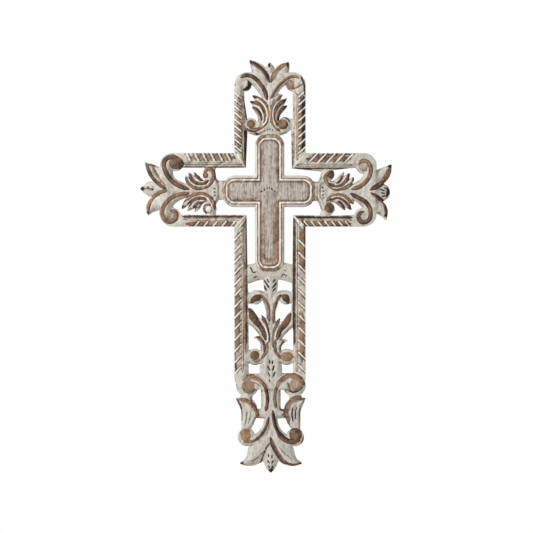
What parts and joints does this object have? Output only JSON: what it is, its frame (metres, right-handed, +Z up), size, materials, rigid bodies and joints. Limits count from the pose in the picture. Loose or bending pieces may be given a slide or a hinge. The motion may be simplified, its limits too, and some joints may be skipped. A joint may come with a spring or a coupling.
{
  "type": "wall cross",
  "caption": "Wall cross carved and pierced from a wooden board, with a rope-edged frame, scrollwork, leaf ends and a moulded inner cross.",
  "frame": {"origin": "on the flat back face, behind the centre of the crossing", "axes": "+Z up the cross, +X to the right seen from the front, +Y towards the wall"},
  "size_m": [0.2798, 0.019, 0.4594],
  "materials": {
    "whitewashed_wood": "whitewashed and rubbed back to brown wood on the high places, matt"
  },
  "bodies": {
    "root": {"carved_cross": "whitewashed_wood"}
  },
  "joints": []
}
